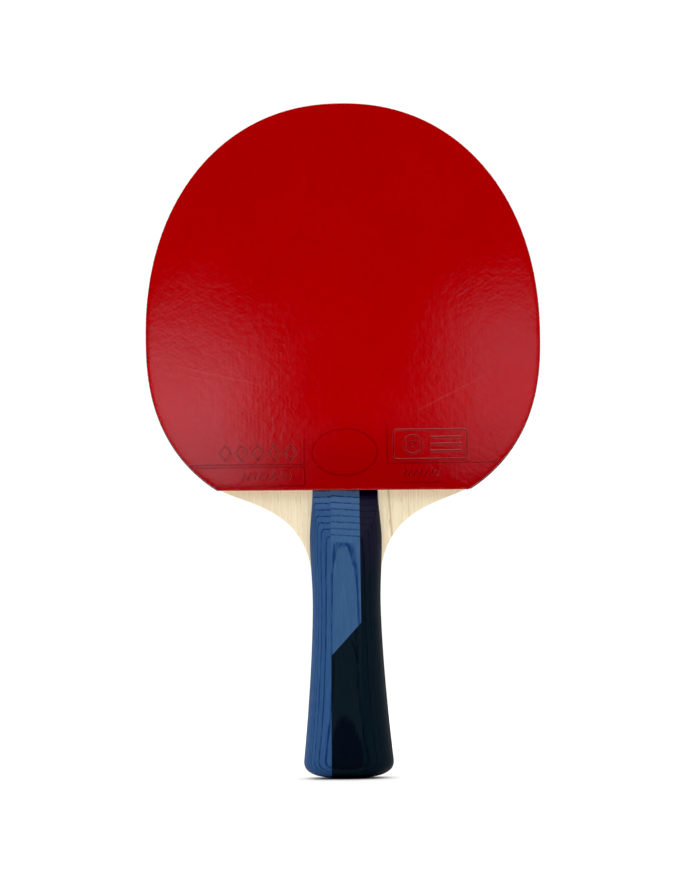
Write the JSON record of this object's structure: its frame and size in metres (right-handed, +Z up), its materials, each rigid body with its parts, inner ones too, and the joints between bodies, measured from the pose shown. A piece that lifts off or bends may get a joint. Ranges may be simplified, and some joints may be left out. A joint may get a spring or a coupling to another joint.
{
  "type": "table tennis paddle",
  "caption": "Table tennis paddle with a plywood blade, a red and a black rubber over sponge, and a flared handle of blue and black dyed veneer.",
  "frame": {"origin": "middle of the grip, on the blade's mid-plane and on the handle's long axis", "axes": "+Z up the handle to the head, -Y out of the red forehand face, +X to the right of that face"},
  "size_m": [0.151, 0.024, 0.2575],
  "materials": {
    "face_veneer": "satin",
    "inner_veneer": "matte",
    "core_wood": "matte",
    "red_rubber": "satin",
    "black_rubber": "satin",
    "forehand_sponge": "matte",
    "backhand_sponge": "matte",
    "blue_veneer": "satin",
    "black_veneer": "satin"
  },
  "bodies": {
    "root": {"blade_core_ply": "core_wood", "blade_inner_ply_front": "inner_veneer", "blade_inner_ply_back": "inner_veneer", "blade_face_ply_front": "face_veneer", "blade_face_ply_back": "face_veneer", "forehand_sponge": "forehand_sponge", "forehand_topsheet": "red_rubber", "backhand_sponge": "backhand_sponge", "backhand_topsheet": "black_rubber", "handle_front_left_strip": "blue_veneer", "handle_front_middle_upper": "blue_veneer", "handle_front_middle_lower": "black_veneer", "handle_front_right_strip": "black_veneer", "handle_back_left_strip": "blue_veneer", "handle_back_middle_upper": "blue_veneer", "handle_back_middle_lower": "black_veneer", "handle_back_right_strip": "black_veneer"}
  },
  "joints": []
}
